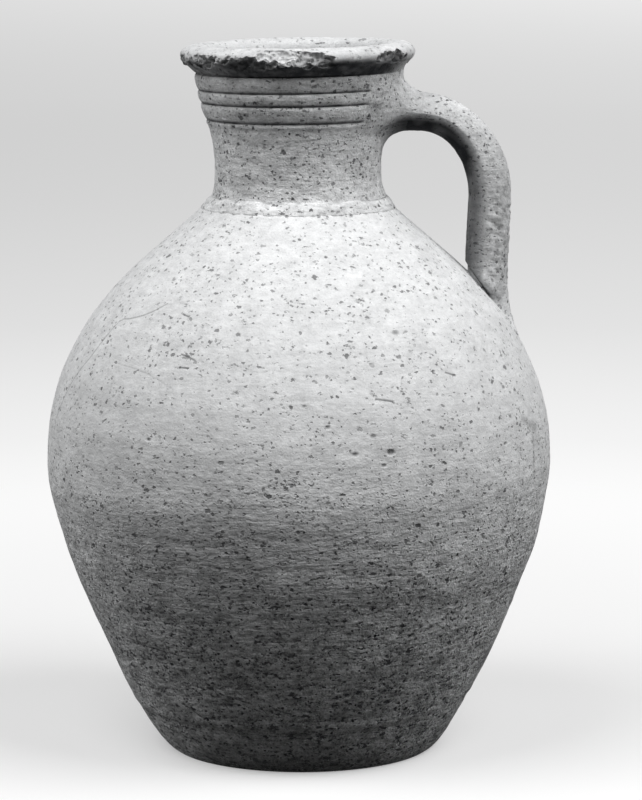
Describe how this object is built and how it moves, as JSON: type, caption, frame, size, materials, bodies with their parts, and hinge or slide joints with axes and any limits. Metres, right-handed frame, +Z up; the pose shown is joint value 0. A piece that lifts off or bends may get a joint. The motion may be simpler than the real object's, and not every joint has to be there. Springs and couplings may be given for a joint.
{
  "type": "jug",
  "caption": "Unglazed clay jug with an egg-shaped belly, flat foot, banded neck, wide turned-out lip and one arched handle.",
  "frame": {"origin": "middle of the foot's underside, on the axis on which the jug was thrown", "axes": "+Z up along the jug's axis, +X from the axis towards the handle"},
  "size_m": [0.2476, 0.2476, 0.3463],
  "materials": {
    "body_clay": "unglazed, matt, with dark grit",
    "neck_clay": "unglazed, matt, with dark grit",
    "handle_clay": "unglazed, matt, with dark grit",
    "luting_clay": "unglazed, matt, smeared by hand"
  },
  "bodies": {
    "root": {"body": "body_clay", "neck": "neck_clay", "neck_collar": "luting_clay", "handle": "handle_clay", "handle_upper_luting": "luting_clay", "handle_lower_luting": "luting_clay"}
  },
  "joints": []
}
